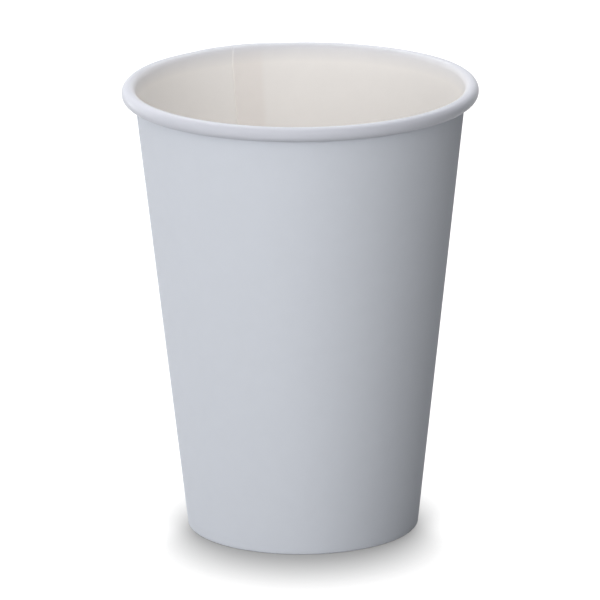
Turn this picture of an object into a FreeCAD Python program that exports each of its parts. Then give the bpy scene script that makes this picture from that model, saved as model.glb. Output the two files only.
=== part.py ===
import FreeCAD, Part
import math
import os

import Sketcher

# A paper coffee cup made of two boards. The side wall is one fan-shaped blank, wrapped into a cone and
# sealed along a lap. Its top edge is rolled outward into the rim bead, and its bottom edge is folded inward
# and up as a hem. The base disc is a round board with a turned-down skirt, which the hem holds against the
# inside of the wall. Z is the axis of the cup, and z = 0 is the surface that it stands on. The lap is at the
# back, on the left.

# Driving dimensions in millimetres and degrees
SIZES = {
    "rim_diameter": 90.0,
    "cup_height": 115.0,
    "foot_diameter": 58.7,
    "wall_board": 0.35,
    "base_board": 0.3,
    "bead_width": 3.5,
    "bead_flat": 0.2,
    "curl_gap": 0.05,
    "curl_end_angle": 60.0,
    "hem_height": 7.8,
    "hem_clearance": 0.3,
    "base_bend_radius": 0.4,
    "seal_gap": 0.02,
    "lap_width": 8.4,
    "lap_polar_angle": 103.1,
    "lap_root": 0.03,
}

VERTICAL_AXIS = FreeCAD.Vector(0, 0, 1)
ORIGIN = FreeCAD.Vector(0, 0, 0)


def make_size_sheet(doc):
    """Put the driving dimensions into the document's spreadsheet, one named cell each."""
    sheet = doc.addObject("Spreadsheet::Sheet", "sizes")
    for row, (alias, value) in enumerate(SIZES.items(), start=1):
        sheet.set(f"A{row}", alias)
        sheet.set(f"B{row}", str(value))
        sheet.setAlias(f"B{row}", alias)
    doc.recompute()
    return sheet


def along(point, angle, distance):
    """Return the point at a distance from another, in a direction given in degrees."""
    across = distance * math.cos(math.radians(angle))
    up = distance * math.sin(math.radians(angle))
    return point[0] + across, point[1] + up


class Layout:
    """Where the boards' faces lie in a half section of the cup, as radius and height."""

    def __init__(self, sizes):
        self.sizes = sizes
        self.board = sizes.wall_board
        self.curl_radius = sizes.bead_width / 2
        self.core_radius = self.curl_radius - self.board
        self.turn_radius = self.core_radius - sizes.curl_gap
        self.bead_bottom = sizes.cup_height - sizes.bead_width - sizes.bead_flat
        middle = sizes.rim_diameter / 2 - self.curl_radius
        self.top_centre = (middle, sizes.cup_height - self.curl_radius)
        self.low_centre = (middle, self.bead_bottom + self.curl_radius)
        self.turn_centre = (middle, self.bead_bottom + self.turn_radius)
        # The wall's outside touches the core of the curl, and at the floor it would reach the foot's radius
        self.foot_radius = sizes.foot_diameter / 2
        run = middle - self.foot_radius
        rise = self.top_centre[1]
        lean = math.atan2(run, rise) - math.asin(self.core_radius / math.hypot(run, rise))
        self.up_wall = 90.0 - math.degrees(lean)
        self.out_of_wall = -math.degrees(lean)
        self.into_cup = 180.0 - math.degrees(lean)
        self.slope_factor = 1.0 / math.cos(lean)
        # The fold leaves room for the base's skirt between the wall and the hem
        floor_radius = self.foot_radius + self.board * (math.tan(lean) - self.slope_factor)
        self.wall_corner = (floor_radius, self.board)
        hem_gap = sizes.base_board + 2 * sizes.seal_gap
        self.hem_corner = (floor_radius - hem_gap * self.slope_factor, self.board)
        self.hem_length = (sizes.hem_height - self.board) * self.slope_factor
        self.base_underside = sizes.hem_height + sizes.hem_clearance + sizes.base_bend_radius
        self.base_top = self.base_underside + sizes.base_board

    def on_wall(self, height, offset):
        """Return the point at a height up the wall's inner face, and set off from it towards the outside."""
        foot = along(self.wall_corner, self.out_of_wall, offset)
        return along(foot, self.up_wall, (height - self.board) * self.slope_factor)


class Section:
    """A closed outline in a body's XZ plane, with radius along X and height along Z."""

    START, END, CENTRE = range(1, 4)
    AXIS_FOOT = (-1, 1)

    def __init__(self, body, name):
        plane = next(feature for feature in body.Origin.OriginFeatures if feature.Role == "XZ_Plane")
        self.body = body
        self.sketch = body.newObject("Sketcher::SketchObject", name)
        self.sketch.AttachmentSupport = [(plane, "")]
        self.sketch.MapMode = "FlatFace"

    def line(self, start, end, construction=False):
        """Add a straight stretch: its number, and the points where the outline enters and leaves it."""
        stretch = Part.LineSegment(FreeCAD.Vector(*start, 0), FreeCAD.Vector(*end, 0))
        return self.sketch.addGeometry(stretch, construction), self.START, self.END

    def arc(self, centre, radius, from_angle, to_angle):
        """Add an arc that the outline follows from one angle to the other, in degrees."""
        low, high = sorted((math.radians(from_angle), math.radians(to_angle)))
        circle = Part.Circle(FreeCAD.Vector(*centre, 0), VERTICAL_AXIS, radius)
        number = self.sketch.addGeometry(Part.ArcOfCircle(circle, low, high), False)
        return (number, self.END, self.START) if to_angle < from_angle else (number, self.START, self.END)

    def mark(self, radius, height):
        """Add a construction point."""
        return self.sketch.addGeometry(Part.Point(FreeCAD.Vector(radius, height, 0)), True)

    def rule(self, kind, *terms):
        """Add a geometric constraint."""
        return self.sketch.addConstraint(Sketcher.Constraint(kind, *terms))

    def size(self, name, formula, kind, *terms):
        """Add a dimension that follows a formula of the driving dimensions."""
        number = self.rule(kind, *terms, self.sketch.evalExpression(formula))
        self.sketch.renameConstraint(number, name)
        self.sketch.setExpression(f"Constraints.{name}", formula)

    def reading(self, name, kind, first, second):
        """Add a dimension that only reports how far one point is from another, across or up."""
        gap = self.sketch.getPoint(*second) - self.sketch.getPoint(*first)
        number = self.rule(kind, *first, *second, gap.x if kind == "DistanceX" else gap.y)
        self.sketch.setDriving(number, False)
        self.sketch.renameConstraint(number, name)

    def chain(self, stretches, corners):
        """Join each stretch to the next, smoothly unless the stretch before is one that ends in a corner."""
        for before, after in zip(stretches, stretches[1:] + stretches[:1]):
            kind = "Coincident" if before in corners else "Tangent"
            self.rule(kind, before[0], before[2], after[0], after[1])

    def on_floor(self, curve, place):
        """Keep a point of a curve on the sketch's first axis, which lies on the floor."""
        self.rule("PointOnObject", curve, place, -1)

    def on_axis(self, curve, place):
        """Keep a point of a curve on the sketch's second axis, which is the cup's axis."""
        self.rule("PointOnObject", curve, place, -2)

    def same_centre(self, first, second):
        """Give two arcs one centre."""
        self.rule("Coincident", first[0], self.CENTRE, second[0], self.CENTRE)

    def revolve(self, name):
        """Turn the outline once round the cup's axis."""
        turn = self.body.newObject("PartDesign::Revolution", name)
        turn.Profile = self.sketch
        turn.ReferenceAxis = (self.sketch, ["V_Axis"])
        turn.Angle = 360.0
        self.body.Tip = turn


def build_wrapped_wall(doc, cup):
    """Make the wrapped sheet as one ring: up the outside, round the curl and back, and down to the hem."""
    sizes = cup.sizes
    body = doc.addObject("PartDesign::Body", "wrapped_wall")
    wall = Section(body, "wall_section")
    end_angle = sizes.curl_end_angle
    turn_core = cup.turn_radius - cup.board
    hem_top = along(cup.hem_corner, cup.up_wall, cup.hem_length)
    hem_lip = along(hem_top, cup.into_cup, cup.board)

    outer_face = wall.line(
        cup.on_wall(cup.board, cup.board), along(cup.top_centre, cup.into_cup, cup.core_radius)
    )
    core_top = wall.arc(cup.top_centre, cup.core_radius, cup.into_cup, 0)
    core_side = wall.line(
        along(cup.top_centre, 0, cup.core_radius), along(cup.low_centre, 0, cup.core_radius)
    )
    core_low = wall.arc(cup.low_centre, cup.core_radius, 0, -90)
    core_turn = wall.arc(cup.turn_centre, turn_core, 270, end_angle)
    curl_end = wall.line(
        along(cup.turn_centre, end_angle, turn_core), along(cup.turn_centre, end_angle, cup.turn_radius)
    )
    curl_turn = wall.arc(cup.turn_centre, cup.turn_radius, end_angle, 270)
    bead_low = wall.arc(cup.low_centre, cup.curl_radius, -90, 0)
    bead_side = wall.line(
        along(cup.low_centre, 0, cup.curl_radius), along(cup.top_centre, 0, cup.curl_radius)
    )
    bead_top = wall.arc(cup.top_centre, cup.curl_radius, 0, cup.into_cup)
    inner_face = wall.line(along(cup.top_centre, cup.into_cup, cup.curl_radius), cup.wall_corner)
    fold_floor = wall.line(cup.wall_corner, cup.hem_corner)
    hem_outside = wall.line(cup.hem_corner, hem_top)
    hem_end = wall.line(hem_top, hem_lip)
    hem_inside = wall.line(hem_lip, along(cup.hem_corner, cup.into_cup, cup.board))
    hem_bend = wall.arc(cup.hem_corner, cup.board, cup.into_cup, 270)
    foot_flat = wall.line((cup.hem_corner[0], 0), (cup.wall_corner[0], 0))
    foot_bend = wall.arc(cup.wall_corner, cup.board, -90, cup.out_of_wall)
    foot_mark = wall.mark(cup.foot_radius, 0)

    curl = [core_top, core_side, core_low, core_turn, curl_end, curl_turn, bead_low, bead_side, bead_top]
    fold = [fold_floor, hem_outside, hem_end, hem_inside, hem_bend, foot_flat, foot_bend]
    corners = [core_turn, curl_end, inner_face, fold_floor, hem_outside, hem_end]
    wall.chain([outer_face, *curl, inner_face, *fold], corners)

    wall.same_centre(core_top, bead_top)
    wall.same_centre(core_low, bead_low)
    wall.same_centre(core_turn, curl_turn)
    wall.rule("Vertical", bead_side[0])
    wall.rule("Vertical", curl_turn[0], wall.CENTRE, bead_low[0], wall.CENTRE)
    wall.rule("PointOnObject", curl_turn[0], wall.CENTRE, curl_end[0])
    wall.on_floor(foot_mark, wall.START)
    wall.rule("PointOnObject", foot_mark, wall.START, outer_face[0])
    wall.rule("Coincident", foot_bend[0], wall.CENTRE, inner_face[0], wall.END)
    wall.rule("Coincident", hem_bend[0], wall.CENTRE, hem_outside[0], wall.START)
    wall.on_floor(foot_flat[0], wall.START)
    wall.on_floor(foot_flat[0], wall.END)
    wall.rule("Horizontal", fold_floor[0])
    wall.rule("Parallel", inner_face[0], outer_face[0])
    wall.rule("Parallel", hem_outside[0], inner_face[0])
    wall.rule("Parallel", hem_inside[0], inner_face[0])
    wall.rule("Perpendicular", hem_end[0], inner_face[0])

    core = "sizes.bead_width / 2 - sizes.wall_board"
    top = "sizes.cup_height - sizes.bead_width / 2"
    wall.size("rim_radius", "sizes.rim_diameter / 2", "DistanceX", *wall.AXIS_FOOT, bead_side[0], wall.START)
    wall.size("foot_radius", "sizes.foot_diameter / 2", "DistanceX", *wall.AXIS_FOOT, foot_mark, wall.START)
    wall.size("top_centre", top, "DistanceY", *wall.AXIS_FOOT, bead_top[0], wall.CENTRE)
    wall.size("side_length", "sizes.bead_flat", "DistanceY", bead_side[0], wall.START, bead_side[0], wall.END)
    wall.size("bead_top_radius", "sizes.bead_width / 2", "Radius", bead_top[0])
    wall.size("bead_low_radius", "sizes.bead_width / 2", "Radius", bead_low[0])
    wall.size("core_top_radius", core, "Radius", core_top[0])
    wall.size("core_low_radius", core, "Radius", core_low[0])
    wall.size("turn_radius", f"{core} - sizes.curl_gap", "Radius", curl_turn[0])
    wall.size("curl_end_angle", "sizes.curl_end_angle * 1 deg", "Angle", curl_end[0])
    wall.size("hem_height", "sizes.hem_height", "DistanceY", *wall.AXIS_FOOT, hem_outside[0], wall.END)
    skirt_room = "sizes.base_board + 2 * sizes.seal_gap"
    wall.size("skirt_room", skirt_room, "Distance", hem_outside[0], wall.START, inner_face[0])
    wall.reading("floor_radius", "DistanceX", wall.AXIS_FOOT, (inner_face[0], wall.END))
    wall.reading("face_run", "DistanceX", (inner_face[0], wall.END), (inner_face[0], wall.START))
    wall.reading("face_rise", "DistanceY", (inner_face[0], wall.END), (inner_face[0], wall.START))
    wall.revolve("wall_turn")
    return body


def build_base_disc(doc, cup):
    """Make the base board: along its underside, down inside the skirt, up its outside, and back on top."""
    sizes = cup.sizes
    body = doc.addObject("PartDesign::Body", "base_disc")
    body.Label = "base_disc"
    base = Section(body, "base_section")
    bend = sizes.base_bend_radius
    outer_bend = bend + sizes.base_board
    bend_centre = cup.on_wall(cup.base_underside - bend, -(outer_bend + sizes.seal_gap) * cup.slope_factor)
    bend_centre = (bend_centre[0], cup.base_underside - bend)
    skirt_lip = cup.on_wall(cup.board + sizes.seal_gap, -sizes.seal_gap)
    skirt_edge = along(skirt_lip, cup.into_cup, sizes.base_board)

    wall_top = along(cup.top_centre, cup.into_cup, cup.curl_radius)
    wall_face = base.line(cup.wall_corner, wall_top, construction=True)
    underside = base.line((0, cup.base_underside), (bend_centre[0], cup.base_underside))
    inside_bend = base.arc(bend_centre, bend, 90, cup.out_of_wall)
    skirt_inside = base.line(along(bend_centre, cup.out_of_wall, bend), skirt_edge)
    skirt_end = base.line(skirt_edge, skirt_lip)
    skirt_outside = base.line(skirt_lip, along(bend_centre, cup.out_of_wall, outer_bend))
    outside_bend = base.arc(bend_centre, outer_bend, cup.out_of_wall, 90)
    topside = base.line((bend_centre[0], cup.base_top), (0, cup.base_top))
    axis_side = base.line((0, cup.base_top), (0, cup.base_underside))

    skirt = [inside_bend, skirt_inside, skirt_end, skirt_outside, outside_bend]
    base.chain([underside, *skirt, topside, axis_side], [skirt_inside, skirt_end, topside, axis_side])
    base.same_centre(inside_bend, outside_bend)
    base.rule("Horizontal", underside[0])
    base.rule("Horizontal", topside[0])
    base.rule("Vertical", axis_side[0])
    base.on_axis(axis_side[0], base.END)
    base.rule("Perpendicular", skirt_end[0], skirt_outside[0])
    base.rule("Parallel", skirt_outside[0], wall_face[0])
    base.rule("Parallel", skirt_inside[0], wall_face[0])

    wall_ends = (wall_face[0], base.START, wall_face[0], base.END)
    wall_start = (*base.AXIS_FOOT, wall_face[0], base.START)
    recess = "sizes.hem_height + sizes.hem_clearance + sizes.base_bend_radius"
    skirt_height = "sizes.wall_board + sizes.seal_gap"
    base.size("wall_start", "wall_section.Constraints.floor_radius", "DistanceX", *wall_start)
    base.size("wall_floor", "sizes.wall_board", "DistanceY", *wall_start)
    base.size("wall_run", "wall_section.Constraints.face_run", "DistanceX", *wall_ends)
    base.size("wall_rise", "wall_section.Constraints.face_rise", "DistanceY", *wall_ends)
    base.size("recess", recess, "DistanceY", *base.AXIS_FOOT, underside[0], base.START)
    base.size("board", "sizes.base_board", "DistanceY", axis_side[0], base.END, axis_side[0], base.START)
    base.size("bend", "sizes.base_bend_radius", "Radius", inside_bend[0])
    base.size("skirt_seal", "sizes.seal_gap", "Distance", skirt_outside[0], base.START, wall_face[0])
    base.size("skirt_height", skirt_height, "DistanceY", *base.AXIS_FOOT, skirt_end[0], base.END)
    base.revolve("base_turn")
    return body


def close_outline(points, arcs):
    """Join points into a closed wire in the XZ plane, bending the stretch after a point where it has an arc.

    An arc is the centre of a stretch, kept under the number of the point that the stretch starts from.
    """
    edges = []
    for number, (start, end) in enumerate(zip(points, points[1:] + points[:1])):
        ends = [FreeCAD.Vector(start[0], 0, start[1]), FreeCAD.Vector(end[0], 0, end[1])]
        if number in arcs:
            centre = FreeCAD.Vector(arcs[number][0], 0, arcs[number][1])
            halfway = (ends[0] + ends[1] - centre * 2).normalize()
            crown = centre + halfway * (ends[0] - centre).Length
            edges.append(Part.Arc(ends[0], crown, ends[1]).toShape())
        else:
            edges.append(Part.LineSegment(*ends).toShape())
    return Part.Wire(edges)


def outline_wall_lap(cup, inward, outward):
    """Outline the lap from the base over the bead, set off inward from one face, outward from the other."""
    bead = cup.curl_radius + inward
    middle = cup.curl_radius - cup.board / 2
    step = cup.base_top + cup.sizes.seal_gap
    points = [
        cup.on_wall(cup.board * 2, cup.board / 2),
        cup.on_wall(step, cup.board / 2),
        cup.on_wall(step, -inward),
        along(cup.top_centre, cup.into_cup, bead),
        along(cup.top_centre, 0, bead),
        along(cup.low_centre, 0, bead),
        along(cup.low_centre, -90, bead),
        along(cup.low_centre, -90, middle),
        along(cup.low_centre, 0, middle),
        along(cup.top_centre, 0, middle),
        along(cup.top_centre, cup.into_cup, middle),
        cup.on_wall(cup.bead_bottom, cup.board / 2),
        cup.on_wall(cup.bead_bottom, cup.board + outward),
        cup.on_wall(cup.board * 2, cup.board + outward),
    ]
    return close_outline(points, {3: cup.top_centre, 5: cup.low_centre, 7: cup.low_centre, 9: cup.top_centre})


def outline_hem_lap(cup, inward, outward):
    """Outline the lap in the hem, where the outer layer faces the axis and the inner one stays flush."""
    middle = along(cup.hem_corner, cup.into_cup, cup.board / 2)
    face = along(cup.hem_corner, cup.into_cup, cup.board + outward)
    heights = (cup.board * cup.slope_factor, cup.hem_length)
    points = [along(foot, cup.up_wall, height) for foot in (middle, face) for height in heights]
    return close_outline([points[0], points[1], points[3], points[2]], {})


def loft_lap(cup, outline):
    """Carry an outline round the axis, from the blank's inner cut edge to its outer one.

    Each layer leans from one face of the sheet to the other, so the inner layer stands proud at its own cut
    edge and ends flush, a little below the face, where the outer layer's edge is.
    """
    sizes = cup.sizes
    lap_angle = math.degrees(sizes.lap_width / (sizes.rim_diameter / 2))
    lean = cup.board + sizes.lap_root
    wires = []
    for share in (0.0, 0.5, 1.0):
        wire = outline(cup, cup.board - share * lean, share * lean - sizes.lap_root)
        wire.rotate(ORIGIN, VERTICAL_AXIS, sizes.lap_polar_angle + (1.0 - share) * lap_angle)
        wires.append(wire)
    return Part.makeLoft(wires, True, False)


def build_side_wall(doc, cup):
    """Fuse the ring of board with the second layer that lies along the lap."""
    ring = build_wrapped_wall(doc, cup)
    laps = []
    for name, outline in (("wall_lap", outline_wall_lap), ("hem_lap", outline_hem_lap)):
        lap = doc.addObject("Part::Feature", name)
        lap.Shape = loft_lap(cup, outline)
        lap.Placement = FreeCAD.Placement()
        laps.append(lap)
    side_wall = doc.addObject("Part::MultiFuse", "side_wall")
    side_wall.Label = "side_wall"
    side_wall.Shapes = [ring, *laps]
    return side_wall


def export_parts(doc, parts):
    """Stop if a feature failed, and otherwise write one file for each physical piece."""
    failed = [item.Name for item in doc.Objects if {"Invalid", "Error"} & set(item.State)]
    if failed:
        raise RuntimeError(f"these features failed: {', '.join(failed)}")
    for part in parts:
        if part.Shape.isNull() or not part.Shape.isValid() or len(part.Shape.Solids) != 1:
            raise RuntimeError(f"{part.Label} is not one valid solid")
    os.makedirs("parts", exist_ok=True)
    for part in parts:
        part.Shape.exportStep(f"parts/{part.Label}.step")
        print(part.Label, "volume", round(part.Shape.Volume, 1), "cubic millimetres")


def main():
    """Build the cup and write its two pieces."""
    doc = FreeCAD.newDocument("paper_coffee_cup")
    cup = Layout(make_size_sheet(doc))
    parts = [build_side_wall(doc, cup), build_base_disc(doc, cup)]
    for part in parts:
        part.Placement = FreeCAD.Placement(ORIGIN, FreeCAD.Rotation())
    doc.recompute()
    export_parts(doc, parts)


main()
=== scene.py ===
"""A paper coffee cup: a wrapped, lapped side wall with a rolled rim, and a raised base disc.

The two boards are worked out as surfaces from a half section of the cup and carried round its axis. Sizes of the
cup are in millimetres, as a maker would give them, and every mesh is in metres.
"""

import logging
import math
from collections.abc import Sequence
from dataclasses import dataclass, field
from enum import Enum
from typing import NamedTuple

import bpy
import numpy as np
from mathutils import Matrix, Vector


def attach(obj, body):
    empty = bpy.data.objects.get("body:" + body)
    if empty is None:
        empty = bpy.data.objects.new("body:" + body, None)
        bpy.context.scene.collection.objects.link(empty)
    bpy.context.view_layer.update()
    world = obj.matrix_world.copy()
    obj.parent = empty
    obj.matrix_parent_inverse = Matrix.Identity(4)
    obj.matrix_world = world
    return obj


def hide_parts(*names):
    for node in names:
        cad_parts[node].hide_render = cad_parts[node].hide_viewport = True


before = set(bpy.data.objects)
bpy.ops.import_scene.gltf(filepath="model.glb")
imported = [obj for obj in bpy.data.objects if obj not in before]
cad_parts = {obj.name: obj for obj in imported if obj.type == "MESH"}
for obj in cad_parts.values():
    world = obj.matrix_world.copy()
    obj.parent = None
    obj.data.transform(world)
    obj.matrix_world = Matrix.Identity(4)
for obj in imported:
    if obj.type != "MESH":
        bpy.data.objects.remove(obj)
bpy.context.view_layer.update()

MM = 0.001
BODY = "root"
LOG = logging.getLogger("paper_cup")


class Face(Enum):
    """The surfaces of a board, in the order of the material slots of a mesh."""

    COATED = 0
    PLAIN = 1
    CUT = 2


@dataclass(frozen=True)
class RimLift:
    """A place where the rim lies high: its polar angle and its width in degrees, and how high in millimetres."""

    angle: float
    width: float
    height: float


@dataclass(frozen=True)
class CupSizes:
    """Driving sizes of the cup, in millimetres and degrees.

    The lap's slant is how far the seam turns round the axis on its way down from the rim to the foot, and its rim
    turn is how far it turns over the rim.
    """

    rim_diameter: float = 90.0
    height: float = 115.0
    foot_diameter: float = 58.7
    wall_board: float = 0.35
    least_board: float = 0.02
    base_board: float = 0.3
    bead_width: float = 3.5
    bead_flat: float = 0.2
    curl_gap: float = 0.05
    curl_end_angle: float = 60.0
    hem_height: float = 7.8
    hem_clearance: float = 0.3
    base_bend_radius: float = 0.4
    seal_gap: float = 0.02
    lap_width: float = 8.7
    lap_polar_angle: float = 103.85
    lap_slant: float = -4.3
    lap_rim_turn: float = -0.9
    bead_swell: float = 0.2
    bead_swell_angle: float = 12.5
    rim_lifts: tuple[RimLift, ...] = (RimLift(22.0, 28.0, 0.34), RimLift(152.0, 22.0, 0.18))
    lift_start: float = 60.0
    fold_radius: float = 0.06

    @property
    def curl_radius(self) -> float:
        """Return the radius of the bead's round top and bottom."""
        return self.bead_width / 2

    @property
    def turn_radius(self) -> float:
        """Return the radius of the second turn inside the bead."""
        return self.curl_radius - self.wall_board - self.curl_gap

    @property
    def bead_bottom(self) -> float:
        """Return the height of the bead's lowest line."""
        return self.height - self.bead_width - self.bead_flat

    @property
    def bead_middle(self) -> float:
        """Return the radius at which the bead is highest."""
        return self.rim_diameter / 2 - self.curl_radius

    @property
    def lean(self) -> float:
        """Return the wall's lean in degrees: its outside touches the curl's core and meets the foot's radius."""
        run = self.bead_middle - self.foot_diameter / 2
        rise = self.height - self.curl_radius
        core = self.curl_radius - self.wall_board
        return math.degrees(math.atan2(run, rise) - math.asin(core / math.hypot(run, rise)))

    @property
    def lap_angle(self) -> float:
        """Return the angle that the lap takes round the axis, in degrees."""
        return math.degrees(self.lap_width / (self.rim_diameter / 2))

    @property
    def inner_edge_angle(self) -> float:
        """Return the polar angle of the blank's inner cut edge, in degrees."""
        return self.lap_polar_angle + self.lap_angle

    @property
    def base_underside(self) -> float:
        """Return the height of the base disc's lower face."""
        return self.hem_height + self.hem_clearance + self.base_bend_radius

    def on_wall(self, height: float, offset: float) -> tuple[float, float]:
        """Find a point by the wall's inner face.

        Args:
            height: Height above the table before the offset is taken.
            offset: Distance from the inner face, towards the outside.

        Returns:
            Radius and height.
        """
        lean = math.radians(self.lean)
        radius = self.foot_diameter / 2 + height * math.tan(lean) - self.wall_board / math.cos(lean)
        return radius + offset * math.cos(lean), height - offset * math.sin(lean)


def soft_ramp(value: np.ndarray, blend: float) -> np.ndarray:
    """Rise with a value above zero, with the corner rounded off.

    The result is 0 below -blend, the value itself above blend, and between them (value + blend)^2 / (4 blend).

    Args:
        value: Values to pass through the ramp.
        blend: Half the width of the rounded corner.

    Returns:
        The ramp's height at each value.
    """
    corner = (np.clip(value, -blend, blend) + blend) ** 2 / (4 * blend)
    return np.where(value > blend, value, corner)


def direction(angle: np.ndarray | float) -> np.ndarray:
    """Return unit directions in a half section for angles in degrees, as radius and height."""
    turn = np.radians(angle)
    return np.stack([np.cos(turn), np.sin(turn)], axis=-1)


@dataclass
class BoardPath:
    """The line of a board in a half section: points of its coated face, and directions through the board.

    Each stretch also has traits, numbers that run evenly from its start to its end.
    """

    points: list[np.ndarray] = field(default_factory=list)
    through: list[np.ndarray] = field(default_factory=list)
    traits: list[np.ndarray] = field(default_factory=list)

    def _add(self, points: np.ndarray, through: np.ndarray, traits: tuple[float, ...]) -> None:
        """Join a stretch to the path, and let its traits run evenly from those before to the given ones."""
        before = self.traits[-1][-1] if self.traits else np.array(traits, dtype=float)
        share = np.linspace(0.0, 1.0, len(points))[:, None]
        values = before * (1 - share) + np.array(traits, dtype=float) * share
        start = 1 if self.points else 0
        self.points.append(points[start:])
        self.through.append(through[start:])
        self.traits.append(values[start:])

    def straight(
        self,
        start: tuple[float, float],
        end: tuple[float, float],
        through_angle: float,
        steps: int,
        traits: tuple[float, ...] = (),
    ) -> None:
        """Add a straight stretch.

        Args:
            start: Radius and height where it starts.
            end: Radius and height where it ends.
            through_angle: Direction from the coated face through the board, in degrees.
            steps: Number of parts that the stretch is divided into.
            traits: The stretch's traits at its end.
        """
        share = np.linspace(0.0, 1.0, steps + 1)[:, None]
        points = np.array(start) * (1 - share) + np.array(end) * share
        through = np.repeat(direction(through_angle)[None, :], steps + 1, axis=0)
        self._add(points, through, traits)

    def bend(
        self,
        centre: tuple[float, float],
        radius: float,
        turn: tuple[float, float],
        steps: int,
        inward: bool,
        traits: tuple[float, ...] = (),
    ) -> None:
        """Add an arc: centre + radius * (cos, sin) of an angle that runs evenly over the turn.

        Args:
            centre: Radius and height of the arc's centre.
            radius: Radius of the coated face.
            turn: Angles at which the arc starts and ends, in degrees.
            steps: Number of parts that the arc is divided into.
            inward: Whether the board lies towards the arc's centre.
            traits: The stretch's traits at its end.
        """
        angles = np.linspace(turn[0], turn[1], steps + 1)
        rays = direction(angles)
        self._add(np.array(centre) + radius * rays, -rays if inward else rays, traits)

    def arrays(self) -> tuple[np.ndarray, np.ndarray, np.ndarray]:
        """Return the path's points, its directions through the board and its traits as whole arrays."""
        return np.concatenate(self.points), np.concatenate(self.through), np.concatenate(self.traits)


def carry_round(section: np.ndarray, angles: np.ndarray) -> np.ndarray:
    """Carry section points round the axis: x = radius * cos(angle), y = radius * sin(angle), z = height.

    Args:
        section: Radius and height in millimetres, for each angle and each point of the path.
        angles: Polar angles in radians, for each row of the section or for each of its points.

    Returns:
        Points in metres, for each angle and each point of the path.
    """
    radius = section[..., 0]
    return np.stack([radius * np.cos(angles), radius * np.sin(angles), section[..., 1]], axis=-1) * MM


def grid_faces(index: np.ndarray, flip: bool) -> np.ndarray:
    """List the quads between the neighbouring rows and columns of a grid of vertex numbers."""
    quads = np.stack([index[:-1, :-1], index[:-1, 1:], index[1:, 1:], index[1:, :-1]], axis=-1).reshape(-1, 4)
    return quads[:, ::-1] if flip else quads


@dataclass
class MeshParts:
    """Quads and triangles of one mesh, gathered surface by surface with their material and shading."""

    vertices: np.ndarray
    loops: list[np.ndarray] = field(default_factory=list)
    totals: list[np.ndarray] = field(default_factory=list)
    materials: list[np.ndarray] = field(default_factory=list)
    smooth: list[np.ndarray] = field(default_factory=list)

    def add(self, faces: np.ndarray, face: Face, smooth: bool = True) -> None:
        """Add faces with one number of corners each.

        Args:
            faces: Vertex numbers, one row for each face.
            face: The board's surface that they belong to.
            smooth: Whether they are shaded as a curved surface.
        """
        count, corners = faces.shape
        self.loops.append(faces.ravel())
        self.totals.append(np.full(count, corners))
        self.materials.append(np.full(count, face.value))
        self.smooth.append(np.full(count, smooth))

    def build(self, name: str) -> bpy.types.Object:
        """Make the Blender object, which sits at the origin with its place in its mesh."""
        loops = np.concatenate(self.loops)
        totals = np.concatenate(self.totals)
        mesh = bpy.data.meshes.new(name)
        mesh.vertices.add(len(self.vertices))
        mesh.vertices.foreach_set("co", self.vertices.ravel().astype(np.float32))
        mesh.loops.add(len(loops))
        mesh.loops.foreach_set("vertex_index", loops.astype(np.int32))
        mesh.polygons.add(len(totals))
        starts = np.concatenate([[0], np.cumsum(totals)[:-1]])
        mesh.polygons.foreach_set("loop_start", starts.astype(np.int32))
        mesh.polygons.foreach_set("loop_total", totals.astype(np.int32))
        mesh.polygons.foreach_set("material_index", np.concatenate(self.materials).astype(np.int32))
        mesh.polygons.foreach_set("use_smooth", np.concatenate(self.smooth))
        mesh.update(calc_edges=True)
        mesh.validate()
        piece = bpy.data.objects.new(name, mesh)
        bpy.context.scene.collection.objects.link(piece)
        return piece


def add_point_values(piece: bpy.types.Object, name: str, values: np.ndarray) -> None:
    """Store one number for each vertex, for a material to read."""
    attribute = piece.data.attributes.new(name, "FLOAT", "POINT")
    attribute.data.foreach_set("value", values.ravel().astype(np.float32))


class WallTraits(NamedTuple):
    """What the sheet does at a point of the wall's section, each as a share from 0 to 1.

    The first two are the shares of the lap's offset that the inner and the outer layer take, then come how far the
    coated face has rolled out over the rim and how far the hem's ribs are pressed in.
    """

    inner: float = 0.0
    outer: float = 0.0
    rim: float = 0.0
    ribs: float = 0.0


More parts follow.
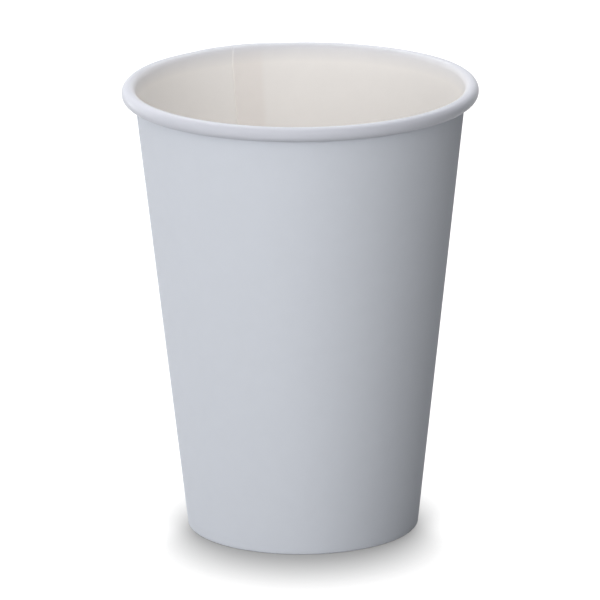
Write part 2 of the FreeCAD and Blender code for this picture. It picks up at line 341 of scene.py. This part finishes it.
@dataclass
class SideWall:
    """The wrapped blank: one sheet from its inner cut edge once round to its outer cut edge, over the lap.

    The steps divide its stretches. The lap's blend is a share of the lap, the fade of the lap's painted shade is in
    degrees, and the hem's fade is a share of the hem. The foot's height, the rise over which the inner cut edge comes
    out above the base, and the neck's length below the rim are in millimetres. The traits follow the sheet from the
    hem to the curl's end.
    """

    sizes: CupSizes
    wall_steps: int = 30
    round_steps: int = 340
    lap_steps: int = 24
    hem_steps: int = 7
    fold_steps: int = 5
    foot_steps: int = 3
    short_steps: int = 2
    neck_steps: int = 4
    bead_steps: int = 11
    turn_steps: int = 18
    lap_blend: float = 0.05
    lap_shade_fade: float = 2.0
    hem_fade: float = 0.2
    foot_height: float = 3.0
    edge_rise: float = 1.0
    neck_length: float = 4.5
    pressed: WallTraits = WallTraits(outer=1.0, ribs=1.0)
    folded: WallTraits = WallTraits()
    lapped: WallTraits = WallTraits(outer=1.0)
    layered: WallTraits = WallTraits(inner=0.45, outer=1.0)
    necked: WallTraits = WallTraits(inner=0.35, outer=1.0, rim=0.4)
    rolled: WallTraits = WallTraits(inner=0.15, outer=1.0, rim=1.0)
    tucked: WallTraits = WallTraits(inner=0.15, outer=0.7, rim=1.0)
    hidden: WallTraits = WallTraits(inner=0.2, outer=0.2, rim=1.0)

    def path(self) -> BoardPath:
        """Draw the sheet's half section from the hem's top, round the fold and up the wall, to the curl's end."""
        size = self.sizes
        lean = size.lean
        up_slope = 1 / math.cos(math.radians(lean))
        gap = size.base_board + 2 * size.seal_gap
        fold = size.fold_radius
        wall_corner = size.on_wall(size.wall_board, 0.0)
        hem_corner = (wall_corner[0] - gap * up_slope, size.wall_board)
        hem_run = (size.hem_height - size.wall_board) * math.tan(math.radians(lean))
        hem_top = (hem_corner[0] + hem_run, size.hem_height)
        middle = size.bead_middle
        top_centre = (middle, size.height - size.curl_radius)
        low_centre = (middle, size.bead_bottom + size.curl_radius)
        turn_centre = (middle, size.bead_bottom + size.turn_radius)
        into_cup = 180.0 - lean
        # Each bend of the fold is tangent to a wall and to the floor of the fold
        reach = fold * math.tan(math.radians(45.0 + lean / 2))
        short = fold * math.tan(math.radians(45.0 - lean / 2))
        hem_bend = (hem_corner[0] + short, size.wall_board + fold)
        wall_bend = (wall_corner[0] - reach, size.wall_board + fold)
        hem_start = tuple(np.array(hem_bend) + fold * direction(into_cup))
        hem_low = tuple(np.array(hem_start) + self.hem_fade * (np.array(hem_top) - np.array(hem_start)))
        wall_start = tuple(np.array(wall_bend) + fold * direction(-lean))
        bead_start = tuple(np.array(top_centre) + size.curl_radius * direction(into_cup))

        outside = middle + size.curl_radius
        edge_top = size.base_underside + self.edge_rise
        last_turn = (-90.0, size.curl_end_angle - 360.0)

        path = BoardPath()
        path.straight(hem_top, hem_low, into_cup, self.hem_steps, self.pressed)
        path.straight(hem_low, hem_start, into_cup, self.short_steps, self.folded)
        path.bend(hem_bend, fold, (into_cup, 270.0), self.fold_steps, inward=False, traits=self.folded)
        fold_floor = [(bend[0], size.wall_board) for bend in (hem_bend, wall_bend)]
        path.straight(*fold_floor, 270.0, self.short_steps, self.folded)
        path.bend(wall_bend, fold, (270.0, 360.0 - lean), self.fold_steps, inward=False, traits=self.folded)
        start = wall_start
        for height, steps, traits in (
            (self.foot_height, self.foot_steps, self.lapped),
            (size.base_underside, self.foot_steps, self.lapped),
            (edge_top, self.short_steps, self.layered),
            (size.height - self.neck_length, self.wall_steps, self.layered),
        ):
            end = size.on_wall(height, 0.0)
            path.straight(start, end, -lean, steps, traits)
            start = end
        path.straight(start, bead_start, -lean, self.neck_steps, self.necked)
        for turn in ((into_cup, 90.0), (90.0, 0.0)):
            path.bend(top_centre, size.curl_radius, turn, self.bead_steps, inward=True, traits=self.rolled)
        path.straight((outside, top_centre[1]), (outside, low_centre[1]), 180.0, 1, self.rolled)
        path.bend(low_centre, size.curl_radius, (0.0, -90.0), self.bead_steps, inward=True, traits=self.tucked)
        path.bend(turn_centre, size.turn_radius, last_turn, self.turn_steps, inward=True, traits=self.hidden)
        return path

    def sweep(self) -> tuple[np.ndarray, np.ndarray, np.ndarray]:
        """Divide the way round, and say how far each layer is set off in the lap.

        The inner layer's offset falls from the board's thickness to nothing over the lap, and the outer layer's
        rises in the same way one turn later, so that the two always lie on each other.

        Returns:
            Polar angles in radians, offsets of the inner layer and offsets of the outer layer, in millimetres.
        """
        size = self.sizes
        lap = size.lap_angle
        travel = np.concatenate(
            [
                np.linspace(0.0, lap, self.lap_steps, endpoint=False),
                np.linspace(lap, 360.0, self.round_steps, endpoint=False),
                np.linspace(360.0, 360.0 + lap, self.lap_steps + 1),
            ]
        )
        inner = size.wall_board * soft_ramp(1 - travel / lap, self.lap_blend)
        outer = size.wall_board * soft_ramp((travel - 360.0) / lap, self.lap_blend)
        return np.radians(size.inner_edge_angle - travel), inner, outer

    def swell(self, angles: np.ndarray) -> np.ndarray:
        """Return how far the bead swells over the lap: exp(-(angle from the inner cut edge / width)^6)."""
        from_edge = self.sizes.inner_edge_angle - np.degrees(angles)
        from_edge = np.where(from_edge > 180.0, from_edge - 360.0, from_edge)
        return np.exp(-((from_edge / self.sizes.bead_swell_angle) ** 6))

    def lift(self, angles: np.ndarray, heights: np.ndarray) -> np.ndarray:
        """Say how far the wall is lifted, because a rolled rim never lies quite level.

        It is the sum of height * exp(-(angle from its middle / width)^2) over the lifts, times the square of a
        point's share of the way from the lift's start up to the rim.

        Args:
            angles: Polar angles in radians.
            heights: Heights in millimetres.

        Returns:
            Lifts in millimetres, for each angle and each height.
        """
        size = self.sizes
        total = np.zeros_like(angles)
        for lift in size.rim_lifts:
            apart = (np.degrees(angles) - lift.angle + 180.0) % 360.0 - 180.0
            total += lift.height * np.exp(-((apart / lift.width) ** 2))
        share = np.clip((heights - size.lift_start) / (size.height - size.lift_start), 0.0, 1.0)
        return total[:, None] * share[None, :] ** 2

    def doubled(self, angles: np.ndarray) -> np.ndarray:
        """Return where the sheet lies double, which is where the lap's painted shade falls: 1 in both layers of the
        lap, and falling to 0 on either side.
        """
        travel = self.sizes.inner_edge_angle - np.degrees(angles)
        beyond = np.minimum(travel - self.sizes.lap_angle, 360.0 - travel)
        return np.clip(0.5 - beyond / self.lap_shade_fade, 0.0, 1.0)

    def build(self) -> bpy.types.Object:
        """Make the sheet as a closed mesh: two faces, two cut edges and the two ends of the section."""
        size = self.sizes
        points, through, traits = self.path().arrays()
        inner_share, outer_share, rim_share, rib_share = traits.T[:, None, :]
        angles, inner, outer = self.sweep()
        offset = outer[:, None] * outer_share - inner[:, None] * inner_share
        # Where the inner layer is set off less than a board's thickness, it is pressed thinner by the same amount
        board = np.maximum(size.wall_board - inner[:, None] * (1 - inner_share), size.least_board)
        offset -= size.bead_swell * self.swell(angles)[:, None] * rim_share
        coated = points[None] + through[None] * offset[..., None]
        coated[..., 1] += self.lift(angles, points[:, 1])
        plain = coated + through[None] * board[..., None]
        slant = size.lap_slant * (1 - points[None, :, 1] / size.height) + size.lap_rim_turn * rim_share
        turn = angles[:, None] + np.radians(slant)
        coated_grid = carry_round(coated, turn)
        plain_grid = carry_round(plain, turn)

        rows, columns = offset.shape
        first = np.arange(rows * columns).reshape(rows, columns)
        second = first + rows * columns
        parts = MeshParts(np.concatenate([coated_grid.reshape(-1, 3), plain_grid.reshape(-1, 3)]))
        parts.add(grid_faces(first, flip=True), Face.COATED)
        parts.add(grid_faces(second, flip=False), Face.PLAIN)
        for row, flip in ((0, False), (-1, True)):
            parts.add(grid_faces(np.stack([first[row], second[row]]), flip), Face.CUT, smooth=False)
        for column, flip in ((0, True), (-1, False)):
            edge = np.stack([first[:, column], second[:, column]])
            parts.add(grid_faces(edge, flip), Face.CUT, smooth=False)
        piece = parts.build("wrapped_wall")
        # The lap's painted shade falls on the double board below the rim.
        lap_shade_share = self.doubled(angles)[:, None] * (1 - rim_share)
        for name, shares in (("rim_share", rim_share), ("rib_share", rib_share), ("lap_shade_share", lap_shade_share)):
            values = np.broadcast_to(shares, (rows, columns)).ravel()
            add_point_values(piece, name, np.concatenate([values, values]))
        return piece


@dataclass
class BaseDisc:
    """The round base board with its turned-down skirt, lying in the foot of the wall."""

    sizes: CupSizes
    flat_steps: int = 16
    bend_steps: int = 8
    skirt_steps: int = 8
    round_steps: int = 240

    def path(self) -> BoardPath:
        """Draw the board's half section from the axis over the bend and down to the skirt's edge."""
        size = self.sizes
        lean = size.lean
        bend = size.base_bend_radius + size.base_board
        top = size.base_underside + size.base_board
        touch = size.on_wall(size.base_underside - size.base_bend_radius, 0.0)
        slope = 1 / math.cos(math.radians(lean))
        centre = (touch[0] - (bend + size.seal_gap) * slope, size.base_underside - size.base_bend_radius)
        skirt_start = tuple(np.array(centre) + bend * direction(-lean))
        skirt_end = size.on_wall(size.wall_board + size.seal_gap, -size.seal_gap)
        path = BoardPath()
        path.straight((centre[0] / self.flat_steps, top), (centre[0], top), -90.0, self.flat_steps - 1)
        path.bend(centre, bend, (90.0, -lean), self.bend_steps, inward=True)
        path.straight(skirt_start, skirt_end, 180.0 - lean, self.skirt_steps)
        return path

    def build(self) -> bpy.types.Object:
        """Make the board as a closed mesh with a fan of triangles round each pole."""
        size = self.sizes
        points, through, _ = self.path().arrays()
        angles = np.linspace(0.0, 2 * math.pi, self.round_steps, endpoint=False)
        coated = np.repeat(points[None], self.round_steps, axis=0)
        plain = coated + through[None] * size.base_board
        rows, columns = coated.shape[:2]
        ring = np.append(np.arange(rows), 0)
        first = np.arange(rows * columns).reshape(rows, columns)[ring]
        second = first + rows * columns
        poles = 2 * rows * columns
        top = size.base_underside + size.base_board
        vertices = np.concatenate(
            [
                carry_round(coated, angles[:, None]).reshape(-1, 3),
                carry_round(plain, angles[:, None]).reshape(-1, 3),
                np.array([[0.0, 0.0, top], [0.0, 0.0, size.base_underside]]) * MM,
            ]
        )
        parts = MeshParts(vertices)
        parts.add(grid_faces(first, flip=False), Face.COATED)
        parts.add(grid_faces(second, flip=True), Face.PLAIN)
        parts.add(np.stack([np.full(rows, poles), first[:-1, 0], first[1:, 0]], axis=-1), Face.COATED)
        parts.add(np.stack([np.full(rows, poles + 1), second[1:, 0], second[:-1, 0]], axis=-1), Face.PLAIN)
        parts.add(grid_faces(np.stack([first[:, -1], second[:, -1]]), flip=True), Face.CUT, smooth=False)
        return parts.build("drawn_base")


class NodeTree:
    """A short way to place and join the nodes of a material or a node group."""

    def __init__(self, tree: bpy.types.NodeTree) -> None:
        """Keep the tree that the nodes go into."""
        self.tree = tree

    def node(self, kind: str, **settings: object) -> bpy.types.Node:
        """Add a node of a kind, with its settings."""
        item = self.tree.nodes.new(kind)
        for name, value in settings.items():
            setattr(item, name, value)
        return item

    def join(self, source: bpy.types.NodeSocket, target: bpy.types.NodeSocket) -> None:
        """Lead a socket into another."""
        self.tree.links.new(source, target)

    def maths(self, operation: str, first: object, second: object) -> bpy.types.NodeSocket:
        """Add a Math node whose two inputs are sockets or numbers.

        Args:
            operation: Name of the operation, such as MULTIPLY.
            first: Socket or number for the first input.
            second: Socket or number for the second input.

        Returns:
            The socket that holds the result.
        """
        item = self.node("ShaderNodeMath", operation=operation)
        for socket, value in zip(item.inputs, (first, second)):
            if isinstance(value, bpy.types.NodeSocket):
                self.join(value, socket)
            else:
                socket.default_value = value
        return item.outputs[0]

    def seen_rays(self) -> bpy.types.NodeSocket:
        """Return a mask of the rays that show a surface: from the camera, in gloss and through glass."""
        rays = self.node("ShaderNodeLightPath")
        mirrored = self.maths("MAXIMUM", rays.outputs["Is Glossy Ray"], rays.outputs["Is Transmission Ray"])
        return self.maths("MAXIMUM", rays.outputs["Is Camera Ray"], mirrored)


def paper_grain_group() -> bpy.types.NodeTree:
    """Make the group for the grain of paper board.

    It gives a cloudy tone for the colour, a patchy gloss for the roughness and a height of matted fibres. Tone and
    gloss lie round 1, and the height lies between 0 and 1.
    """
    group = bpy.data.node_groups.new("paper_grain", "ShaderNodeTree")
    face = group.interface
    for name, value in (
        ("Cloud Size", 260.0),
        ("Fibre Size", 2600.0),
        ("Cloud Contrast", 0.03),
        ("Gloss Contrast", 0.3),
    ):
        socket = face.new_socket(name, in_out="INPUT", socket_type="NodeSocketFloat")
        socket.default_value = value
    for name in ("Tone", "Gloss", "Height"):
        face.new_socket(name, in_out="OUTPUT", socket_type="NodeSocketFloat")
    nodes = NodeTree(group)
    entry = nodes.node("NodeGroupInput")
    exit_node = nodes.node("NodeGroupOutput")
    place = nodes.node("ShaderNodeTexCoord").outputs["Object"]
    cloud = nodes.node("ShaderNodeTexNoise")
    cloud.inputs["Detail"].default_value = 3.0
    nodes.join(place, cloud.inputs["Vector"])
    nodes.join(entry.outputs["Cloud Size"], cloud.inputs["Scale"])
    fibre = nodes.node("ShaderNodeTexNoise")
    fibre.inputs["Detail"].default_value = 4.0
    fibre.inputs["Distortion"].default_value = 0.6
    nodes.join(place, fibre.inputs["Vector"])
    nodes.join(entry.outputs["Fibre Size"], fibre.inputs["Scale"])
    for texture, contrast, result in ((cloud, "Cloud Contrast", "Tone"), (fibre, "Gloss Contrast", "Gloss")):
        centred = nodes.maths("SUBTRACT", texture.outputs["Fac"], 0.5)
        spread = nodes.maths("MULTIPLY", centred, entry.outputs[contrast])
        nodes.join(nodes.maths("ADD", spread, 1.0), exit_node.inputs[result])
    nodes.join(fibre.outputs["Fac"], exit_node.inputs["Height"])
    return group


def pressed_ribs_group() -> bpy.types.NodeTree:
    """Make the group for the ribs that are pressed into the hem: a height of sin(count * angle round the axis)."""
    group = bpy.data.node_groups.new("pressed_ribs", "ShaderNodeTree")
    for name, value in (("Count", 160.0), ("Share", 1.0)):
        socket = group.interface.new_socket(name, in_out="INPUT", socket_type="NodeSocketFloat")
        socket.default_value = value
    group.interface.new_socket("Height", in_out="OUTPUT", socket_type="NodeSocketFloat")
    nodes = NodeTree(group)
    entry = nodes.node("NodeGroupInput")
    exit_node = nodes.node("NodeGroupOutput")
    place = nodes.node("ShaderNodeSeparateXYZ")
    nodes.join(nodes.node("ShaderNodeTexCoord").outputs["Object"], place.inputs[0])
    angle = nodes.maths("ARCTAN2", place.outputs["Y"], place.outputs["X"])
    wave = nodes.maths("SINE", nodes.maths("MULTIPLY", angle, entry.outputs["Count"]), 0.0)
    nodes.join(nodes.maths("MULTIPLY", wave, entry.outputs["Share"]), exit_node.inputs["Height"])
    return group


@dataclass(frozen=True)
class BoardFinish:
    """A finish of paper board: its colour, its gloss, and how far its fibres and ribs stand out, in millimetres.

    The colour may turn into painted shade over the rim and where the board lies double: darker where less light comes
    through the board, and over the rim also darker and bluer for how light falls on it. Ribs may be pressed in along
    the hem, and a clear coat may lie on top.
    """

    name: str
    colour: tuple[float, float, float]
    roughness: float
    specular: float
    fibre_height: float
    # Painted shade that the colour turns into over the rim and over the lap.
    rim_painted_shade: tuple[float, float, float] | None = None
    lap_painted_shade: tuple[float, float, float] | None = None
    rib_height: float = 0.0
    coat: float = 0.0
    coat_roughness: float = 0.1

    def base_colour(self, nodes: NodeTree, tone: bpy.types.NodeSocket) -> bpy.types.NodeSocket:
        """Lay out the colour, with the painted shade of the lap and of the rim mixed in.

        Args:
            nodes: The material's nodes.
            tone: The grain's tone, which the colour is multiplied by.

        Returns:
            The socket that holds the colour.
        """
        shade = nodes.node("ShaderNodeVectorMath", operation="SCALE")
        shade.inputs[0].default_value = self.colour
        nodes.join(tone, shade.inputs["Scale"])
        before = None
        # Mix in the painted shade: over the lap where the board lies double, and over the rim.
        for colour, attribute in ((self.lap_painted_shade, "lap_shade_share"), (self.rim_painted_shade, "rim_share")):
            if colour is None:
                continue
            painted_shade_mix = nodes.node("ShaderNodeMix", data_type="RGBA")
            painted_shade_mix.inputs["A"].default_value = (*self.colour, 1.0)
            painted_shade_mix.inputs["B"].default_value = (*colour, 1.0)
            if before:
                nodes.join(before, painted_shade_mix.inputs["A"])
            share = nodes.node("ShaderNodeAttribute", attribute_name=attribute)
            nodes.join(share.outputs["Fac"], painted_shade_mix.inputs["Factor"])
            before = painted_shade_mix.outputs["Result"]
            nodes.join(before, shade.inputs[0])
        return shade.outputs["Vector"]

    def relief(self, nodes: NodeTree, fibres: bpy.types.NodeSocket) -> bpy.types.NodeSocket:
        """Lay out the bumps of the surface.

        Args:
            nodes: The material's nodes.
            fibres: The grain's height.

        Returns:
            The socket that holds the bumped normal.
        """
        height = nodes.maths("MULTIPLY", fibres, self.fibre_height)
        if self.rib_height:
            ribs = nodes.node("ShaderNodeGroup", node_tree=bpy.data.node_groups["pressed_ribs"])
            share = nodes.node("ShaderNodeAttribute", attribute_name="rib_share")
            nodes.join(share.outputs["Fac"], ribs.inputs["Share"])
            height = nodes.maths("ADD", height, nodes.maths("MULTIPLY", ribs.outputs["Height"], self.rib_height))
        bump = nodes.node("ShaderNodeBump")
        bump.inputs["Strength"].default_value = 1.0
        bump.inputs["Distance"].default_value = MM
        nodes.join(height, bump.inputs["Height"])
        return bump.outputs["Normal"]

    def material(self, grain: bpy.types.NodeTree) -> bpy.types.Material:
        """Make the material.

        Args:
            grain: The node group for the grain of paper.

        Returns:
            The finished material.
        """
        material = bpy.data.materials.new(self.name)
        material.use_nodes = True
        material.node_tree.nodes.clear()
        nodes = NodeTree(material.node_tree)
        output = nodes.node("ShaderNodeOutputMaterial")
        shader = nodes.node("ShaderNodeBsdfPrincipled")
        shader.inputs["Specular IOR Level"].default_value = self.specular
        shader.inputs["Coat Weight"].default_value = self.coat
        shader.inputs["Coat Roughness"].default_value = self.coat_roughness
        nodes.join(shader.outputs["BSDF"], output.inputs["Surface"])
        texture = nodes.node("ShaderNodeGroup", node_tree=grain)
        nodes.join(self.base_colour(nodes, texture.outputs["Tone"]), shader.inputs["Base Color"])
        nodes.join(nodes.maths("MULTIPLY", texture.outputs["Gloss"], self.roughness), shader.inputs["Roughness"])
        nodes.join(self.relief(nodes, texture.outputs["Height"]), shader.inputs["Normal"])
        return material


@dataclass(frozen=True)
class Lamp:
    """A softbox: where it hangs round the cup, its size and its light.

    Angles are in degrees, the azimuth from the front towards the right, lengths in metres and the power in watts.
    """

    name: str
    azimuth: float
    elevation: float
    distance: float
    width: float
    height: float
    power: float
    colour: tuple[float, float, float] = (1.0, 1.0, 1.0)

    def hang(self, target: Vector) -> bpy.types.Object:
        """Hang the softbox so that it faces a point.

        Args:
            target: The point that it faces, in metres.

        Returns:
            The lamp.
        """
        light = bpy.data.lights.new(self.name, "AREA")
        light.shape = "RECTANGLE"
        light.size = self.width
        light.size_y = self.height
        light.energy = self.power
        light.color = self.colour
        turn = math.radians(self.azimuth)
        rise = math.radians(self.elevation)
        away = Vector((math.cos(rise) * math.sin(turn), -math.cos(rise) * math.cos(turn), math.sin(rise)))
        lamp = bpy.data.objects.new(self.name, light)
        lamp.location = target + away * self.distance
        lamp.rotation_euler = (-away).to_track_quat("-Z", "Y").to_euler()
        bpy.context.scene.collection.objects.link(lamp)
        return lamp


@dataclass
class Studio:
    """The floor, the light and the camera, which aren't part of the cup.

    The shadow's start, end and shift, the focal length and the sensor's width are in millimetres, and other lengths
    in metres. Angles are in degrees. The shadow's depth is a share of its width.
    """

    sizes: CupSizes
    floor_half: float = 3.0
    floor_colour: tuple[float, float, float] = (0.25, 0.25, 0.25)
    glow_in_shadow: float = 0.05
    glow_far_off: float = 0.98
    shadow_depth: float = 0.284
    shadow_shift: tuple[float, float] = (-0.45, -2.22)
    shadow_start: float = -6.7
    shadow_end: float = 10.0
    ambient: float = 0.04
    ambient_colour: tuple[float, float, float] = (0.97, 0.985, 1.0)
    lamps: tuple[Lamp, ...] = (
        Lamp("low_front_left_strip", -60.0, 3.0, 0.6, 0.6, 0.16, 0.46),
        Lamp("low_front_strip", -30.0, 3.0, 0.6, 0.6, 0.16, 0.45),
        Lamp("high_front_softbox", 0.0, 45.0, 1.0, 1.0, 1.0, 2.28),
        Lamp("left_box", -60.0, 25.0, 1.0, 1.0, 1.0, 0.34),
        Lamp("left_softbox", -30.0, 30.0, 1.0, 1.0, 1.0, 1.52),
        Lamp("high_back_softbox", 180.0, 60.0, 1.0, 1.0, 1.0, 8.80),
        Lamp("back_left_softbox", -130.0, 30.0, 1.0, 1.0, 1.0, 2.55),
        Lamp("back_right_softbox", 150.0, 45.0, 1.0, 1.0, 1.0, 0.20),
        Lamp("low_back_left_strip", -120.0, 3.0, 0.6, 0.4, 0.16, 0.83),
        Lamp("front_strip", 0.0, 17.0, 0.9, 0.9, 0.35, 2.46),
        Lamp("side_left_strip", -80.0, 17.0, 0.9, 0.9, 0.35, 0.10),
    )
    focal_length: float = 469.27
    sensor_width: float = 36.0
    clip_end: float = 20.0
    distance: float = 1.98494
    elevation: float = 15.903
    pan: float = 0.0119
    tilt: float = 0.02707
    roll: float = -0.40672

    def lay_floor(self) -> bpy.types.Object:
        """Lay a level floor that the cup stands on, which the camera sees as white away from the painted shadow round
        the foot.
        """
        half = self.floor_half
        mesh = bpy.data.meshes.new("floor")
        corners = [(-half, -half, 0.0), (half, -half, 0.0), (half, half, 0.0), (-half, half, 0.0)]
        mesh.from_pydata(corners, [], [(0, 1, 2, 3)])
        floor = bpy.data.objects.new("floor", mesh)
        bpy.context.scene.collection.objects.link(floor)
        mesh.materials.append(self.floor_material())
        return floor

    def floor_material(self) -> bpy.types.Material:
        """Make the floor's material.

        It is seen through from below. Where it is seen the sheet also glows, less near the cup's foot, so that it is
        white and the soft shadow round the foot shows: the lamps cast a faint part of it, and the weaker glow paints
        most of it, a painted shadow. The painted shadow follows the foot squeezed in depth, an ellipse with half axes
        a and b. With r = length(x / a, y / b), a point's distance from it is r (r - 1) / length(x / a^2, y / b^2).
        """
        material = bpy.data.materials.new("floor_white")
        material.use_nodes = True
        material.node_tree.nodes.clear()
        nodes = NodeTree(material.node_tree)
        output = nodes.node("ShaderNodeOutputMaterial")
        sheet = nodes.node("ShaderNodeBsdfDiffuse")
        sheet.inputs["Color"].default_value = (*self.floor_colour, 1.0)
        glow = nodes.node("ShaderNodeEmission")
        half_width = self.sizes.foot_diameter / 2
        half_depth = half_width * self.shadow_depth
        squeeze = nodes.node("ShaderNodeVectorMath", operation="MULTIPLY_ADD")
        squeeze.inputs[1].default_value = (1 / MM, self.shadow_depth / MM, 0.0)
        squeeze.inputs[2].default_value = (-self.shadow_shift[0], -self.shadow_shift[1], 0.0)
        nodes.join(nodes.node("ShaderNodeTexCoord").outputs["Object"], squeeze.inputs[0])
        lengths = []
        for axes in ((half_width, half_depth, 1.0), (half_width**2, half_depth**2, 1.0)):
            scaled = nodes.node("ShaderNodeVectorMath", operation="DIVIDE")
            scaled.inputs[1].default_value = axes
            nodes.join(squeeze.outputs["Vector"], scaled.inputs[0])
            length = nodes.node("ShaderNodeVectorMath", operation="LENGTH")
            nodes.join(scaled.outputs["Vector"], length.inputs[0])
            lengths.append(length.outputs["Value"])
        beyond = nodes.maths("MULTIPLY", lengths[0], nodes.maths("SUBTRACT", lengths[0], 1.0))
        distance = nodes.maths("DIVIDE", beyond, lengths[1])
        # The glow fades out towards the foot, and so paints the shadow round it.
        fade = nodes.node("ShaderNodeMapRange", interpolation_type="SMOOTHSTEP")
        for name, value in (
            ("From Min", self.shadow_start),
            ("From Max", self.shadow_end),
            ("To Min", self.glow_in_shadow),
            ("To Max", self.glow_far_off),
        ):
            fade.inputs[name].default_value = value
        nodes.join(distance, fade.inputs["Value"])
        nodes.join(nodes.maths("MULTIPLY", fade.outputs["Result"], nodes.seen_rays()), glow.inputs["Strength"])
        lit = nodes.node("ShaderNodeAddShader")
        nodes.join(sheet.outputs["BSDF"], lit.inputs[0])
        nodes.join(glow.outputs["Emission"], lit.inputs[1])
        one_sided = nodes.node("ShaderNodeMixShader")
        nodes.join(nodes.node("ShaderNodeNewGeometry").outputs["Backfacing"], one_sided.inputs["Fac"])
        nodes.join(lit.outputs["Shader"], one_sided.inputs[1])
        nodes.join(nodes.node("ShaderNodeBsdfTransparent").outputs["BSDF"], one_sided.inputs[2])
        nodes.join(one_sided.outputs["Shader"], output.inputs["Surface"])
        return material

    def light(self) -> None:
        """Set the room, which is white where it is seen, mirrored or seen through, and hang the softboxes."""
        world = bpy.data.worlds.new("studio")
        bpy.context.scene.world = world
        world.use_nodes = True
        world.node_tree.nodes.clear()
        nodes = NodeTree(world.node_tree)
        output = nodes.node("ShaderNodeOutputWorld")
        room = nodes.node("ShaderNodeBackground")
        room.inputs["Color"].default_value = (*self.ambient_colour, 1.0)
        room.inputs["Strength"].default_value = self.ambient
        white = nodes.node("ShaderNodeBackground")
        white.inputs["Color"].default_value = (1.0, 1.0, 1.0, 1.0)
        blend = nodes.node("ShaderNodeMixShader")
        nodes.join(nodes.seen_rays(), blend.inputs["Fac"])
        nodes.join(room.outputs["Background"], blend.inputs[1])
        nodes.join(white.outputs["Background"], blend.inputs[2])
        nodes.join(blend.outputs["Shader"], output.inputs["Surface"])
        target = Vector((0.0, 0.0, self.sizes.height / 2 * MM))
        for lamp in self.lamps:
            lamp.hang(target)

    def place_camera(self) -> bpy.types.Object:
        """Set up the long lens that looks slightly down at the cup's middle."""
        rise = math.radians(self.elevation)
        middle = Vector((0.0, 0.0, self.sizes.height / 2 * MM))
        place = middle + Vector((0.0, -math.cos(rise), math.sin(rise))) * self.distance
        ahead = Vector((0.0, math.cos(rise), -math.sin(rise)))
        right = Vector((1.0, 0.0, 0.0))
        pan = Matrix.Rotation(math.radians(self.pan), 3, right.cross(ahead))
        tilt = Matrix.Rotation(math.radians(self.tilt), 3, right)
        ahead = tilt @ (pan @ ahead)
        right = pan @ right
        up = right.cross(ahead)
        roll = math.radians(self.roll)
        right = right * math.cos(roll) + up * math.sin(roll)
        up = right.cross(ahead)
        camera_data = bpy.data.cameras.new("camera")
        camera_data.lens = self.focal_length
        camera_data.sensor_width = self.sensor_width
        camera_data.clip_end = self.clip_end
        camera = bpy.data.objects.new("camera", camera_data)
        turn = Matrix((right, up, -ahead)).transposed().to_4x4()
        camera.matrix_world = Matrix.Translation(place) @ turn
        bpy.context.scene.collection.objects.link(camera)
        bpy.context.scene.camera = camera
        return camera


@dataclass
class PaperCup:
    """The whole cup, with its two boards and their finishes."""

    sizes: CupSizes
    outside: BoardFinish = BoardFinish(
        "bleached_board",
        (0.71, 0.742, 0.805),
        roughness=0.75,
        specular=0.12,
        fibre_height=0.005,
        rib_height=0.12,
    )
    inside: BoardFinish = BoardFinish(
        "coated_board",
        (0.948, 0.925, 0.903),
        roughness=0.5,
        specular=0.1,
        fibre_height=0.003,
        # Painted shade: the coated face is darker and bluer where it rolls over the rim than inside the cup, for how
        # light falls there, not a colour of its own.
        rim_painted_shade=(0.630, 0.644, 0.706),
        # Painted shade: the board is darker where it lies double, for the light that comes through a single board and
        # not through two.
        lap_painted_shade=(0.922, 0.885, 0.858),
        coat=0.2,
    )
    # The cut faces have the raw board's whitish colour, made lighter as painted light to make up for the shade on
    # them in the lap's step.
    edge: BoardFinish = BoardFinish(
        "cut_board_with_painted_light", (0.95, 0.93, 0.89), roughness=0.9, specular=0.2, fibre_height=0.012
    )

    def build(self) -> list[bpy.types.Object]:
        """Build both boards, dress them and seat them on the frame."""
        grain = paper_grain_group()
        pressed_ribs_group()
        finishes = [finish.material(grain) for finish in (self.inside, self.outside, self.edge)]
        pieces = []
        for board, node, slot in (
            (SideWall(self.sizes), "side_wall", "wall_board"),
            (BaseDisc(self.sizes), "base_disc", "base_board"),
        ):
            piece = board.build()
            for finish in finishes:
                piece.data.materials.append(finish)
            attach(piece, BODY)
            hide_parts(node)
            pieces.append(piece)
            LOG.info("%s: %d faces", piece.name, len(piece.data.polygons))
        return pieces


def main() -> None:
    """Build the cup and its studio."""
    logging.basicConfig(level=logging.INFO, format="%(name)s: %(message)s")
    sizes = CupSizes()
    studio = Studio(sizes)
    studio.place_camera()
    studio.lay_floor()
    studio.light()
    PaperCup(sizes).build()
    bpy.context.scene.view_settings.view_transform = "Standard"


if __name__ == "__main__":
    main()
